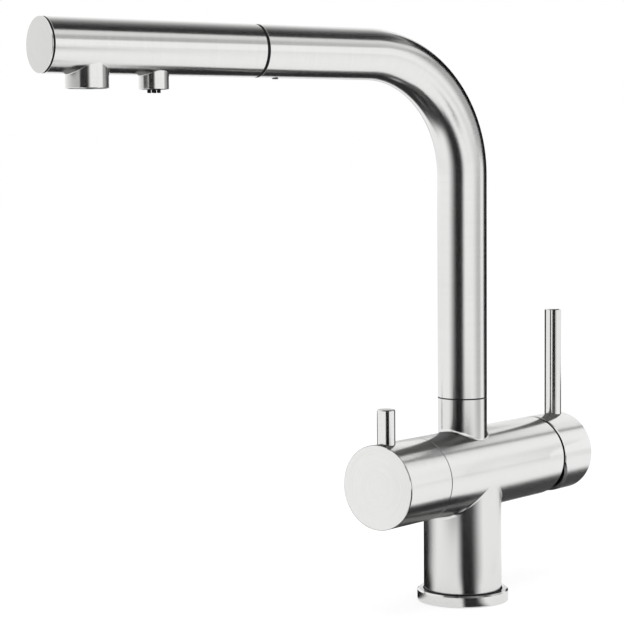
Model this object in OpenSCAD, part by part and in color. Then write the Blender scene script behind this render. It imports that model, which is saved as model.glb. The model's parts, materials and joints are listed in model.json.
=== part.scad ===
/* [Base] */
// Diameter of the round foot
base_d = 44.5; // [42:0.5:46]
// Wall of the hollow foot
base_wall = 4.25; // [3.5:0.25:5]
// Solid roof of the foot, under the crossbar
foot_roof = 5.25; // [4:0.25:8]
// Width of the flange beyond the foot
flange_step = 3.75; // [2.75:0.25:8]
// Height of the flange
flange_h = 6.5; // [5:0.5:9]
// Height of the lip under the foot
flange_lip = 2; // [1.8:0.1:3]
// Bevel of the flange's top edge
flange_bevel = 0.8; // [0.3:0.1:1.5]

/* [Crossbar] */
// Diameter of the crossbar, its knob and its handle
crossbar_d = 46.5; // [45:0.5:50]
// Height of the crossbar's axis above the deck
axis_z = 74.5; // [68:0.5:85]
// From the column's axis to the seam of the filter knob
body_left = 42.5; // [40:0.5:50]
// From the column's axis to the face behind the mixer handle
body_right = 71.5; // [70:0.5:80]
// Bevel of the crossbar's ends, of the handle's rim and of the levers' tips
end_bevel = 0.5; // [0.2:0.1:1]
// Bevel of the fine seams' edges and of the outlets' lower edges
edge_bevel = 0.2; // [0.1:0.05:0.4]

/* [Filter knob] */
// Length of the filter knob
knob_len = 37.2; // [34:0.2:44]
// Seam between the body and the knob
knob_gap = 0.3; // [0.2:0.1:0.6]
// Depth of the knob's hollow
knob_hollow = 19.2; // [16:0.2:20]
// Wall of the knob around its hollow
knob_wall = 4; // [2.5:0.25:5]
// From the knob's outer face to its lever's axis
filter_lever_inset = 8.2; // [7:0.2:10]

/* [Mixer handle] */
// Gap between the body and the handle
handle_gap = 2.2; // [1.6:0.1:3]
// Length of the handle
handle_len = 28.8; // [27:0.2:34]
// Depth of the handle's hollow
handle_hollow = 11.5; // [10:0.5:12.5]
// Wall of the handle around its hollow
handle_wall = 2.2; // [1.5:0.1:3.5]
// Slant of the handle's rim below the axis, in degrees
rim_slant = 33; // [26:1:34]
// How far below the axis the slant starts
rim_drop = 2.5; // [0:0.5:4]
// From the handle's outer face to its lever's axis
mixer_lever_inset = 7.2; // [6.5:0.1:9]

/* [Levers] */
// Diameter of both pin levers
lever_d = 10; // [7:0.5:11]
// Depth that a lever sits in its hole
lever_sink = 6; // [4:0.5:8]
// Top of the mixer lever above the crossbar's axis
mixer_lever_rise = 86.5; // [70:0.5:110]
// Top of the filter lever above the crossbar's axis
filter_lever_rise = 42; // [34:0.5:60]

/* [Spout] */
// Diameter of the column, the spout and the pull-out head
spout_d = 28; // [27:0.5:30]
// Wall of the spout and of the head
spout_wall = 1.5; // [1.2:0.1:1.5]
// Height of the spout's axis above the deck
spout_z = 309; // [260:1:360]
// Radius of the bend along the tube's axis
bend_r = 66; // [45:1:75]
// Height of the seam where the column swivels
swivel_z = 116.3; // [113:0.1:122]
// Direction of the spout at rest, in degrees from the handle's side
spout_angle = 164.4; // [120:0.2:180]
// Turn from rest to the end stop behind the tap, in degrees
swivel_back = 14.4; // [5:0.2:25]
// Turn from rest to the other end stop, in degrees
swivel_front = 225.6; // [180:0.2:230]
// Thickness of the slip ring in the swivel seam
washer_t = 0.4; // [0.3:0.1:1]

/* [Pull-out head] */
// From the column's axis to the middle of the black ring
seam_x = 139.5; // [125:0.5:160]
// Width of the black ring
dock_ring_w = 1.4; // [1:0.1:3]
// From the column's axis to the tip of the head
head_reach = 265.5; // [255:0.5:290]
// From the tip of the head to the main outlet's axis
main_outlet_inset = 26.2; // [20:0.2:32]
// Diameter of the main outlet
main_outlet_d = 22; // [20:0.5:22.5]
// Between the axes of the two outlets
outlet_pitch = 38.3; // [28:0.1:45]
// Diameter of the filtered water outlet
filter_outlet_d = 15.5; // [14:0.5:18]
// Lower edge of both outlets below the spout's axis
outlet_drop = 21; // [20:0.5:26]
// Thickness of the end cap's visible disc
cap_t = 0.5; // [0.4:0.1:2]
// Width of the groove behind the end cap's disc
cap_groove = 1.0; // [0.4:0.1:1.5]

/* [Connections] */
// Circle on which the ports and the stud holes lie
port_pcd = 28; // [27.6:0.1:28.4]
// Tapped bore of a hose port, for an M8 x 1 tail
port_d = 7; // [6:0.2:7.2]
// Depth of a hose port
port_depth = 12; // [8:0.5:14]
// Tapped bore of a stud hole, for an M6 stud
stud_d = 5; // [4:0.2:6.8]
// Depth of a stud hole
stud_depth = 14; // [10:0.5:16]
// Diameter of the water channels in the body
feed_d = 5; // [4:0.2:5.4]
// Way for the pull-out hoses through the body
hose_way_d = 19; // [16:0.5:19.5]

/* [Cartridge] */
// From the column's axis to the cartridge's seat
cartridge_seat = 34; // [33:0.5:35]
// Diameter of the mixer cartridge
cartridge_d = 35; // [34:0.5:36]
// Diameter of the ring nut that holds it
nut_d = 38; // [37.4:0.2:40]
// From the column's axis to the filter valve's seat
valve_seat = 20; // [18.5:0.5:21]
// Bore of the filter valve's seat
valve_bore = 22; // [21.6:0.2:26]
// Turn of the mixer handle from shut to full flow, in degrees
tilt_max = 22; // [15:1:22]

/* [Clearances] */
// Radial clearance of pieces that stay together
fit = 0.05; // [0.02:0.01:0.08]
// Radial clearance of pieces that turn or slide in each other
run = 0.06; // [0.03:0.01:0.1]
// Radial clearance of a squeezed seal on the face it slides on
seal_run = 0.02; // [0.01:0.01:0.03]
// Gap between flat faces that slide on each other
face_gap = 0.05; // [0.02:0.01:0.1]
// Gap between the black ring and the back of the head
seam_gap = 0.2; // [0.1:0.05:0.5]

/* [Hidden] */
$fn = 96;

// How far every cut runs past the face it opens
cut = 1;
steel = "gainsboro";
brass = "darkkhaki";
white_plastic = "whitesmoke";
grey_plastic = "slategray";
black_plastic = "#2a2a2a";
ceramic = "lavender";
rubber = "#1d1d1d";

// Foot
foot_bore = base_d - 2 * base_wall;
foot_top = axis_z - crossbar_d / 2 - foot_roof;
flange_d = base_d + 2 * flange_step;
seal_w = 3;
seal_h = 1.2;
seal_inner_d = base_d - seal_w;
seal_outer_d = base_d + seal_w;
hot_angle = 40;
cold_angle = -40;
mixed_angle = 0;
filter_in_angle = 180;
filter_out_angle = 140;
stud_angles = [90, 270];
port_angles = [hot_angle, cold_angle, mixed_angle, filter_in_angle, filter_out_angle];
// How much smaller a cross channel is than the channel it meets
cross_step = 0.6;

// Mixer cartridge, from its seat outwards
bore_play = 0.1;
cartridge_wall = 3.5;
cartridge_inner_d = cartridge_d - 2 * cartridge_wall;
inlet_y = 6;
outlet_z = -6;
peg_d = 4;
peg_len = 3;
peg_y = 10;
peg_z = 9;
seal_ring_w = 1.2;
seal_ring_d = feed_d + 2 * seal_ring_w;
seal_ring_t = 1;
base_t = 4;
fixed_t = 4;
moving_t = 3;
carrier_t = 6;
base_end = cartridge_seat + base_t;
fixed_end = base_end + fixed_t;
moving_start = fixed_end + face_gap;
moving_end = fixed_end + moving_t;
carrier_end = moving_end + carrier_t;
rotor_start = carrier_end + 4 * face_gap;
housing_len = 32;
housing_roof = 6;
housing_end = cartridge_seat + housing_len;
housing_shoulder = housing_end - housing_roof;
rotor_proud = 3;
rotor_end = housing_end + rotor_proud;
rotor_step = 3;
rotor_neck_d = cartridge_inner_d - 2 * rotor_step;
nut_play = 0.5;
nut_room = 2;
nut_end = body_right - nut_play;
nut_hole_d = rotor_neck_d + 2 * nut_room;
pivot_sink = 4;
pivot_x = housing_end - pivot_sink;
arm_len = 13;
arm_t = 3.6;
nose_d = 6;
nose_play = 0.1;
stem_w = 8;
stem_eye_d = 9;
pin_d = 3.5;
pin_sink = 1;
pin_len = rotor_neck_d - 2 * pin_sink;
disc_travel = arm_len * sin(tilt_max);
slot_play = 0.3;
slot_h = 2 * (disc_travel + nose_d / 2 + slot_play);
pocket_floor_t = 0.8;
pocket_floor = moving_end + pocket_floor_t;
disc_room = 3.5;
moving_d = cartridge_inner_d - disc_travel - disc_room;
moving_z = -disc_travel / 2;
mix_w = 11;
mix_rise = 2.8;
mix_fall = 2.4;
mix_depth = 1.6;

// Mixer handle
handle_in = body_right + handle_gap;
handle_out = handle_in + handle_len;
hollow_end = handle_in + handle_hollow;
mixer_lever_x = handle_out - mixer_lever_inset;
stem_cover = 6.5;
stem_end = handle_out - stem_cover;
handle_screw_inset = 11.5;
handle_screw_x = handle_out - handle_screw_inset;
handle_screw_d = 5;
handle_screw_len = 8;
lever_seat = crossbar_d / 2 - lever_sink;

// Filter valve and knob, as distances to the left of the column's axis
knob_in = body_left + knob_gap;
knob_out = knob_in + knob_len;
knob_hub = knob_in + knob_hollow;
filter_lever_x = knob_out - filter_lever_inset;
valve_gallery = 2.2;
valve_sleeve_d = valve_bore - 2 * valve_gallery;
valve_wall = 1.6;
valve_disc_d = valve_sleeve_d - 2 * valve_wall;
valve_ring_r = (valve_sleeve_d + valve_bore) / 4;
valve_seal_t = 2.5;
valve_seal_w = 1;
valve_disc_t = 3;
valve_seal_end = valve_seat + valve_seal_t;
valve_fixed_end = valve_seal_end + valve_disc_t;
valve_moving_start = valve_fixed_end + face_gap;
valve_moving_end = valve_fixed_end + valve_disc_t;
spindle_foot_t = 4;
spindle_foot_end = valve_moving_end + spindle_foot_t;
valve_roof = spindle_foot_end + 2 * face_gap;
valve_thread_gap = 1.5;
valve_thread_start = spindle_foot_end + valve_thread_gap;
valve_hex_t = 4;
valve_hex_end = body_left + valve_hex_t;
valve_hex_step = 2;
valve_hex_d = valve_bore + 2 * valve_hex_step;
valve_neck_step = 3;
valve_neck_d = valve_bore - 2 * valve_neck_step;
valve_neck_gap = 5;
valve_neck_end = knob_hub - valve_neck_gap;
spindle_d = 10;
spindle_square = 6.5;
spindle_square_lead = 4;
spindle_square_start = knob_hub - spindle_square_lead;
spindle_square_grip = 12;
spindle_end = knob_hub + spindle_square_grip;
ring_groove_w = 2.2;
ring_depth = 1.4;
ring_pitch = 5;
ring_inset = 1;
spindle_rings = [valve_hex_end - ring_inset - ring_pitch, valve_hex_end - ring_inset];
valve_port_d = 4.4;
valve_port_r = 3.6;
window_d = 4;
window_x = spindle_foot_end - window_d / 2;
knob_screw_d = 4;
knob_screw_len = 7;
knob_screw_inset = 5;
knob_screw_x = knob_hub + knob_screw_inset;

// Column and swivel
spout_bore = spout_d - 2 * spout_wall;
column_foot = swivel_z + washer_t;
column_len = spout_z - bend_r - column_foot;
washer_inset = 0.2;
collar_wall = 2;
swivel_bore = spout_d - 2 * collar_wall;
swivel_depth = 15.8;
swivel_floor = swivel_z - swivel_depth;
sleeve_wall = 2.7;
sleeve_bore = swivel_bore - 2 * sleeve_wall;
sleeve_grip = 20;
sleeve_top = column_foot + sleeve_grip;
sleeve_gap = 0.5;
sleeve_foot = swivel_floor + sleeve_gap;
screw_depth = 8.3;
screw_z = swivel_z - screw_depth;
screw_groove_w = 4.4;
ring_land = 0.9;
ring_offset = screw_groove_w / 2 + ring_land;
sleeve_rings = [screw_z - ring_offset - ring_groove_w, screw_z + ring_offset];
screw_groove_depth = 1.3;
screw_tip_d = 3;
screw_tip_gap = 0.1;
screw_d = 4;
screw_sink = 0.2;
screw_tip_r = swivel_bore / 2 - screw_groove_depth + screw_tip_gap;
screw_back_r = spout_d / 2 - screw_sink;
screw_angle = 90;
// Angle that the screw's tip takes up at an end stop, and a degree more
stop_margin = asin(screw_tip_d / 2 / screw_tip_r) + 1;

// Dock and pull-out head, along the spout's axis
tube_end = seam_x - dock_ring_w / 2;
dock_ring_end = seam_x + dock_ring_w / 2;
dock_ring_sink = 0.3;
dock_ring_d = spout_d - 2 * dock_ring_sink;
dock_wall = 2;
dock_bore = spout_bore - 2 * dock_wall;
dock_len = 22;
dock_back = tube_end - dock_len;
dock_screw_inset = 12;
dock_screw_x = tube_end - dock_screw_inset;
dock_screw_d = 3.2;
dock_screw_proud = 0.5;
dock_screw_gap = 0.4;
dock_screw_tip = dock_bore / 2 + dock_screw_gap;
head_back = dock_ring_end + seam_gap;
spigot_len = 18;
spigot_back = head_back - spigot_len;
spigot_root = 10;
core_start = head_back + spigot_root;
shell_end = head_reach - cap_t - cap_groove;
cap_plug = 3;
core_end = shell_end - cap_plug;
cap_groove_depth = 0.4;
main_outlet_x = head_reach - main_outlet_inset;
filter_outlet_x = main_outlet_x - outlet_pitch;
main_feed_y = 5;
main_feed_d = 7;
filter_feed_y = -5.5;
filter_feed_d = 5;
feed_z = 1;
collar_top = -5;
main_wall = 1.25;
main_neck_step = 4.5;
main_neck_d = main_outlet_d - 2 * main_neck_step;
insert_recess = 0.8;
insert_h = 6;
insert_bottom = -outlet_drop + insert_recess;
insert_top = insert_bottom + insert_h;
insert_seal_h = 2;
insert_seal_top = insert_top + insert_seal_h;
insert_d = main_outlet_d - 2 * main_wall;
insert_pitch = 3.6;
insert_hole_d = 2.2;
filter_wall = 1.5;
filter_neck_step = 3.75;
filter_neck_d = filter_outlet_d - 2 * filter_neck_step;
nozzle_d = filter_outlet_d - 2 * filter_wall;
nozzle_recess = 0.4;
nozzle_h = 5.6;
nozzle_bottom = -outlet_drop + nozzle_recess;
nozzle_top = nozzle_bottom + nozzle_h;
nub_d = 1.5;
nub_bore = 0.7;
nub_drop = 1.7;
nub_circle_r = 2.85;
nub_turn = 50;

// Rod along the crossbar's axis
module x_rod(x0, x1, d) {
    translate([x0, 0, axis_z])
        rotate([0, 90, 0])
            cylinder(h = x1 - x0, d = d);
}

// Ring along the crossbar's axis
module x_ring(x0, x1, outer, inner) {
    difference() {
        x_rod(x0, x1, outer);
        x_rod(x0 - cut, x1 + cut, inner);
    }
}

// Upright rod on the column's axis
module z_rod(z0, z1, d) {
    translate([0, 0, z0])
        cylinder(h = z1 - z0, d = d);
}

// Upright ring on the column's axis
module z_ring(z0, z1, outer, inner) {
    difference() {
        z_rod(z0, z1, outer);
        z_rod(z0 - cut, z1 + cut, inner);
    }
}

// Rod on Z with a bevelled far end
module bevelled_rod(h, d, bevel) {
    rotate_extrude()
        polygon([[0, 0], [d / 2, 0], [d / 2, h - bevel], [d / 2 - bevel, h], [0, h]]);
}

// Rod on Z with a bevel at its foot and one at its far end
module two_bevel_rod(h, d, foot_bevel, far_bevel) {
    rotate_extrude()
        polygon([
            [0, 0],
            [d / 2 - foot_bevel, 0],
            [d / 2, foot_bevel],
            [d / 2, h - far_bevel],
            [d / 2 - far_bevel, h],
            [0, h],
        ]);
}

// Rod along the crossbar's axis with a bevel at each end
module x_bevelled_rod(x0, x1, d, start_bevel, far_bevel) {
    translate([x0, 0, axis_z])
        rotate([0, 90, 0])
            two_bevel_rod(x1 - x0, d, start_bevel, far_bevel);
}

// Straight round channel from point a to point b
module channel(a, b, d) {
    way = b - a;
    translate(a)
        rotate([0, acos(way.z / norm(way)), atan2(way.y, way.x)])
            cylinder(h = norm(way), d = d);
}

// Places the filter side's pieces, which are written to the right, on the left
module on_left() {
    mirror([1, 0, 0])
        children();
}

// Frame of the spout: X along its axis, Z up, from the column's axis
module along_spout() {
    translate([0, 0, spout_z])
        rotate([0, 0, spout_angle])
            children();
}

// Rod along the spout's axis
module spout_rod(x0, x1, d) {
    translate([x0, 0, 0])
        rotate([0, 90, 0])
            cylinder(h = x1 - x0, d = d);
}

// Upright rod under the spout's axis
module drop_rod(x, z0, z1, d) {
    translate([x, 0, z0])
        cylinder(h = z1 - z0, d = d);
}

// Grub screw on Z, its key recess at the foot
module grub_screw(d, h) {
    difference() {
        cylinder(h = h, d = d);
        translate([0, 0, -cut])
            cylinder(h = cut + h / 2, d = d * 0.55, $fn = 6);
    }
}

// Point on the port circle at a height
function port_point(angle, z) = [port_pcd / 2 * cos(angle), port_pcd / 2 * sin(angle), z];

module base_flange() {
    color(steel)
        difference() {
            rotate_extrude()
                polygon([
                    [foot_bore / 2, 0],
                    [flange_d / 2, 0],
                    [flange_d / 2, flange_h - flange_bevel],
                    [flange_d / 2 - flange_bevel, flange_h],
                    [base_d / 2 + fit, flange_h],
                    [base_d / 2 + fit, flange_lip],
                    [foot_bore / 2, flange_lip],
                ]);
            z_ring(-cut, seal_h, seal_outer_d, seal_inner_d);
        }
}

module base_seal() {
    color(rubber)
        z_ring(0, seal_h, seal_outer_d - 2 * fit, seal_inner_d + 2 * fit);
}

// Water way up from a port and across to a point on a valve's seat
module feed(angle, seat_point) {
    turn = port_point(angle, seat_point.z);
    channel(port_point(angle, foot_top), turn + [0, 0, feed_d / 2], feed_d);
    channel(turn, seat_point, feed_d - cross_step);
}

module feeds() {
    seat_x = cartridge_seat + cut;
    feed(hot_angle, [seat_x, inlet_y, axis_z]);
    feed(cold_angle, [seat_x, -inlet_y, axis_z]);
    feed(mixed_angle, [seat_x, 0, axis_z + outlet_z]);
    feed(filter_in_angle, [-valve_seat - cut, 0, axis_z]);
    feed(filter_out_angle, [-valve_seat - cut, valve_ring_r, axis_z]);
}

module pegs(play) {
    for (side = [-1, 1])
        translate([cartridge_seat - peg_len, side * peg_y, axis_z + peg_z])
            rotate([0, 90, 0])
                cylinder(h = peg_len + cut, d = peg_d + 2 * play);
}

module mixer_body() {
    color(steel)
        difference() {
            union() {
                z_rod(flange_lip, axis_z, base_d);
                x_bevelled_rod(-body_left, body_right, crossbar_d, edge_bevel, end_bevel);
                translate([0, 0, axis_z])
                    bevelled_rod(swivel_z - axis_z, spout_d, edge_bevel);
            }
            z_rod(flange_lip - cut, foot_top, foot_bore);
            z_rod(foot_top - cut, swivel_floor + cut, hose_way_d);
            z_rod(swivel_floor, swivel_z + cut, swivel_bore);
            x_rod(cartridge_seat, body_right + cut, cartridge_d + 2 * bore_play);
            x_rod(housing_end - nut_play, body_right + cut, nut_d + 2 * fit);
            x_rod(-body_left - cut, -valve_seat, valve_bore);
            feeds();
            pegs(fit);
            for (angle = port_angles)
                translate(port_point(angle, foot_top - cut))
                    cylinder(h = port_depth + cut, d = port_d);
            for (angle = stud_angles)
                translate(port_point(angle, foot_top - cut))
                    cylinder(h = stud_depth + cut, d = stud_d);
            translate([0, 0, screw_z])
                rotate([0, 90, screw_angle])
                    cylinder(h = spout_d, d = screw_d + 2 * fit);
        }
}

// The cartridge's three water ways, along the crossbar's axis
module cartridge_ports(x0, x1, d) {
    for (place = [[inlet_y, 0], [-inlet_y, 0], [0, outlet_z]])
        translate([0, place.x, place.y])
            x_rod(x0, x1, d);
}

module cartridge_base() {
    color(grey_plastic)
        difference() {
            union() {
                x_rod(cartridge_seat, base_end, cartridge_d);
                pegs(0);
            }
            cartridge_ports(cartridge_seat - cut, base_end + cut, feed_d);
            cartridge_ports(cartridge_seat - cut, cartridge_seat + seal_ring_t, seal_ring_d);
        }
}

module cartridge_seals() {
    color(rubber)
        difference() {
            cartridge_ports(cartridge_seat, cartridge_seat + seal_ring_t, seal_ring_d - 2 * fit);
            cartridge_ports(cartridge_seat - cut, cartridge_seat + seal_ring_t + cut, feed_d);
        }
}

module mixer_fixed_disc() {
    color(ceramic)
        difference() {
            x_rod(base_end, fixed_end, cartridge_inner_d - 2 * fit);
            cartridge_ports(base_end - cut, fixed_end + cut, feed_d);
        }
}

module mixer_moving_disc() {
    color(ceramic)
        difference() {
            translate([0, 0, moving_z])
                x_rod(moving_start, moving_end, moving_d);
            translate([moving_start - cut, -mix_w / 2, axis_z + outlet_z - mix_fall])
                cube([mix_depth + cut, mix_w, mix_rise + mix_fall]);
        }
}

module disc_carrier() {
    color(grey_plastic)
        difference() {
            translate([0, 0, moving_z])
                x_rod(moving_end, carrier_end, moving_d);
            translate([pocket_floor, -stem_w / 2 - 2 * nose_play, axis_z - nose_d / 2 - nose_play])
                cube([carrier_end - pocket_floor + cut, stem_w + 4 * nose_play, nose_d + 2 * nose_play]);
        }
}

module cartridge_housing() {
    color(grey_plastic)
        difference() {
            x_rod(base_end, housing_end, cartridge_d);
            x_rod(base_end - cut, housing_shoulder, cartridge_inner_d);
            x_rod(base_end - cut, housing_end + cut, rotor_neck_d + 2 * run);
        }
}

// Rod across the crossbar, for the stem's pivot and nose
module y_rod(x, w, d) {
    translate([x, w / 2, axis_z])
        rotate([90, 0, 0])
            cylinder(h = w, d = d);
}

module lever_carrier() {
    color(white_plastic)
        difference() {
            union() {
                x_rod(rotor_start, housing_shoulder - face_gap, cartridge_inner_d - 2 * run);
                x_rod(rotor_start, rotor_end, rotor_neck_d);
            }
            translate([rotor_start - cut, -stem_w / 2 - nose_play, axis_z - slot_h / 2])
                cube([rotor_end - rotor_start + 2 * cut, stem_w + 2 * nose_play, slot_h]);
            y_rod(pivot_x, rotor_neck_d, pin_d + 2 * fit);
        }
}

module stem_pin() {
    color(steel)
        y_rod(pivot_x, pin_len, pin_d);
}

module cartridge_stem() {
    nose_x = pivot_x - arm_len;
    color(brass)
        difference() {
            union() {
                y_rod(nose_x, stem_w, nose_d);
                translate([nose_x, -stem_w / 2, axis_z - arm_t / 2])
                    cube([arm_len, stem_w, arm_t]);
                y_rod(pivot_x, stem_w, stem_eye_d);
                translate([pivot_x, -stem_w / 2, axis_z - stem_w / 2])
                    cube([stem_end - pivot_x, stem_w, stem_w]);
            }
            y_rod(pivot_x, stem_w + 2 * cut, pin_d + 2 * run);
        }
}

module cartridge_nut() {
    color(black_plastic)
        x_ring(housing_end, nut_end, nut_d, nut_hole_d);
}

// Blind hole that a pin lever stands in
module lever_hole(x) {
    translate([x, 0, axis_z + lever_seat])
        cylinder(h = lever_sink + cut, d = lever_d + 2 * fit);
}

module pin_lever(x, rise) {
    translate([x, 0, axis_z + lever_seat])
        bevelled_rod(rise - lever_seat, lever_d, end_bevel);
}

// Wedge under the crossbar's axis that gives the handle room to tilt
module rim_wedge() {
    depth = crossbar_d;
    translate([handle_in, crossbar_d, axis_z - rim_drop])
        rotate([90, 0, 0])
            linear_extrude(height = 2 * crossbar_d)
                polygon([[-cut, 0], [0, 0], [depth * tan(rim_slant), -depth], [-cut, -depth]]);
}

module handle_cap() {
    socket = stem_w + 2 * fit;
    color(steel)
        difference() {
            x_bevelled_rod(handle_in, handle_out, crossbar_d, end_bevel, end_bevel);
            x_rod(handle_in - cut, hollow_end, crossbar_d - 2 * handle_wall);
            rim_wedge();
            translate([hollow_end - cut, -socket / 2, axis_z - socket / 2])
                cube([stem_end - hollow_end + cut, socket, socket]);
            lever_hole(mixer_lever_x);
            translate([handle_screw_x, 0, axis_z - crossbar_d])
                cylinder(h = crossbar_d, d = handle_screw_d + 2 * fit);
        }
}

module mixer_lever() {
    color(steel)
        pin_lever(mixer_lever_x, mixer_lever_rise);
}

module handle_screw() {
    color(grey_plastic)
        translate([handle_screw_x, 0, axis_z - stem_w / 2 - handle_screw_len])
            grub_screw(handle_screw_d, handle_screw_len);
}

module valve_housing() {
    color(brass)
        on_left()
            difference() {
                union() {
                    x_rod(valve_seat, valve_thread_start, valve_sleeve_d);
                    x_rod(valve_thread_start, body_left, valve_bore - 2 * fit);
                    translate([body_left, 0, axis_z])
                        rotate([0, 90, 0])
                            cylinder(h = valve_hex_end - body_left, d = valve_hex_d, $fn = 6);
                    x_rod(body_left, valve_neck_end, valve_neck_d);
                }
                x_rod(valve_seat - cut, valve_roof, valve_disc_d + 2 * fit);
                x_rod(valve_seat, valve_neck_end + cut, spindle_d + 2 * run);
                y_rod(window_x, valve_bore, window_d);
            }
}

module valve_seal() {
    color(rubber)
        on_left()
            x_ring(valve_seat, valve_seal_end, valve_disc_d, feed_d + 2 * valve_seal_w);
}

module valve_fixed_disc() {
    color(ceramic)
        on_left()
            difference() {
                x_rod(valve_seal_end, valve_fixed_end, valve_disc_d);
                for (side = [-1, 1])
                    translate([0, 0, side * valve_port_r])
                        x_rod(valve_seal_end - cut, valve_fixed_end + cut, valve_port_d);
            }
}

module valve_moving_disc() {
    color(ceramic)
        on_left()
            difference() {
                x_rod(valve_moving_start, valve_moving_end, valve_disc_d - 2 * fit);
                for (side = [-1, 1])
                    translate([0, side * valve_port_r, 0])
                        x_rod(valve_moving_start - cut, valve_moving_end + cut, valve_port_d);
            }
}

module valve_spindle() {
    color(brass)
        on_left()
            difference() {
                union() {
                    x_rod(valve_moving_end, spindle_foot_end, valve_disc_d - 2 * fit);
                    x_rod(valve_moving_end, spindle_square_start, spindle_d);
                    translate([spindle_square_start, -spindle_square / 2, axis_z - spindle_square / 2])
                        cube([spindle_end - spindle_square_start, spindle_square, spindle_square]);
                }
                for (x = spindle_rings)
                    x_ring(x, x + ring_groove_w, spindle_d + 2 * cut, spindle_d - 2 * ring_depth);
            }
}

module spindle_seals() {
    color(rubber)
        on_left()
            for (x = spindle_rings)
                x_ring(x + fit, x + ring_groove_w - fit,
                    spindle_d + 2 * run - 2 * seal_run, spindle_d - 2 * ring_depth + 2 * fit);
}

module filter_knob() {
    socket = spindle_square + 2 * fit;
    color(steel)
        on_left()
            difference() {
                x_bevelled_rod(knob_in, knob_out, crossbar_d, edge_bevel, end_bevel);
                x_rod(knob_in - cut, knob_hub, crossbar_d - 2 * knob_wall);
                translate([knob_hub - cut, -socket / 2, axis_z - socket / 2])
                    cube([spindle_end - knob_hub + cut, socket, socket]);
                lever_hole(filter_lever_x);
                translate([knob_screw_x, 0, axis_z - crossbar_d])
                    cylinder(h = crossbar_d, d = knob_screw_d + 2 * fit);
            }
}

module filter_lever() {
    color(steel)
        on_left()
            pin_lever(filter_lever_x, filter_lever_rise);
}

module knob_screw() {
    color(grey_plastic)
        on_left()
            translate([knob_screw_x, 0, axis_z - spindle_square / 2 - knob_screw_len])
                grub_screw(knob_screw_d, knob_screw_len);
}

// Quarter bend of one diameter, in the spout's frame
module spout_bend(d) {
    translate([bend_r, 0, -bend_r])
        rotate([90, 0, 0])
            mirror([1, 0, 0])
                rotate_extrude(angle = 90)
                    translate([bend_r, 0])
                        circle(d = d);
}

// Places a run on Z so that it goes down the column from the bend
module down_column() {
    translate([0, 0, -bend_r])
        mirror([0, 0, 1])
            children();
}

// Places a run on Z so that it goes along the spout from the bend
module out_of_bend() {
    translate([bend_r, 0, 0])
        rotate([0, 90, 0])
            children();
}

module dock_screw_hole() {
    drop_rod(dock_screw_x, -spout_d, 0, dock_screw_d + 2 * fit);
}

module spout_tube() {
    color(steel)
        along_spout()
            difference() {
                union() {
                    down_column()
                        bevelled_rod(column_len, spout_d, edge_bevel);
                    spout_bend(spout_d);
                    out_of_bend()
                        bevelled_rod(tube_end - bend_r, spout_d, edge_bevel);
                }
                down_column()
                    cylinder(h = column_len + cut, d = spout_bore);
                spout_bend(spout_bore);
                out_of_bend()
                    cylinder(h = tube_end - bend_r + cut, d = spout_bore);
                dock_screw_hole();
            }
}

// Groove for the end stops: the screw runs in it from one stop to the other
module stop_groove() {
    start = screw_angle - swivel_front - stop_margin;
    sweep = swivel_front + swivel_back + 2 * stop_margin;
    floor_r = swivel_bore / 2 - screw_groove_depth;
    rotate([0, 0, start])
        rotate_extrude(angle = sweep)
            translate([floor_r, screw_z - screw_groove_w / 2])
                square([screw_groove_depth + cut, screw_groove_w]);
}

module swivel_sleeve() {
    turning_d = swivel_bore - 2 * run;
    color(brass)
        difference() {
            union() {
                z_rod(sleeve_foot, column_foot, turning_d);
                z_rod(column_foot, sleeve_top, spout_bore - 2 * fit);
            }
            z_rod(sleeve_foot - cut, sleeve_top + cut, sleeve_bore);
            for (z = sleeve_rings)
                z_ring(z, z + ring_groove_w, swivel_bore + 2 * cut, swivel_bore - 2 * ring_depth);
            stop_groove();
        }
}

module swivel_seals() {
    color(rubber)
        for (z = sleeve_rings)
            z_ring(z + fit, z + ring_groove_w - fit,
                swivel_bore - 2 * seal_run, swivel_bore - 2 * ring_depth + 2 * fit);
}

module swivel_washer() {
    color(black_plastic)
        z_ring(swivel_z + face_gap, column_foot, spout_d - 2 * washer_inset, swivel_bore + 2 * run);
}

module spout_screw() {
    tip_len = swivel_bore / 2 - screw_tip_r;
    color(grey_plastic)
        translate([0, 0, screw_z])
            rotate([0, 90, screw_angle])
                union() {
                    translate([0, 0, screw_tip_r])
                        cylinder(h = tip_len + cut, d = screw_tip_d);
                    translate([0, 0, screw_back_r])
                        mirror([0, 0, 1])
                            grub_screw(screw_d, screw_back_r - swivel_bore / 2 - run);
                }
}

module dock_sleeve() {
    color(black_plastic)
        along_spout()
            difference() {
                union() {
                    spout_rod(dock_back, tube_end, spout_bore - 2 * fit);
                    spout_rod(tube_end, dock_ring_end, dock_ring_d);
                }
                spout_rod(dock_back - cut, dock_ring_end + cut, dock_bore);
                dock_screw_hole();
            }
}

module dock_screw() {
    color(grey_plastic)
        along_spout()
            translate([dock_screw_x, 0, -spout_d / 2 - dock_screw_proud])
                grub_screw(dock_screw_d, spout_d / 2 + dock_screw_proud - dock_screw_tip);
}

module head_shell() {
    color(steel)
        along_spout()
            difference() {
                translate([head_back, 0, 0])
                    rotate([0, 90, 0])
                        two_bevel_rod(shell_end - head_back, spout_d, edge_bevel, edge_bevel);
                spout_rod(head_back - cut, shell_end + cut, spout_bore);
                drop_rod(main_outlet_x, -spout_d, 0, main_outlet_d + 2 * fit);
                drop_rod(filter_outlet_x, -spout_d, 0, filter_outlet_d + 2 * fit);
            }
}

module head_end_cap() {
    color(steel)
        along_spout()
            union() {
                spout_rod(core_end, shell_end, spout_bore - 2 * fit);
                spout_rod(shell_end, shell_end + cap_groove, spout_d - 2 * cap_groove_depth);
                translate([shell_end + cap_groove, 0, 0])
                    rotate([0, 90, 0])
                        bevelled_rod(cap_t, spout_d, edge_bevel);
            }
}

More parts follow.
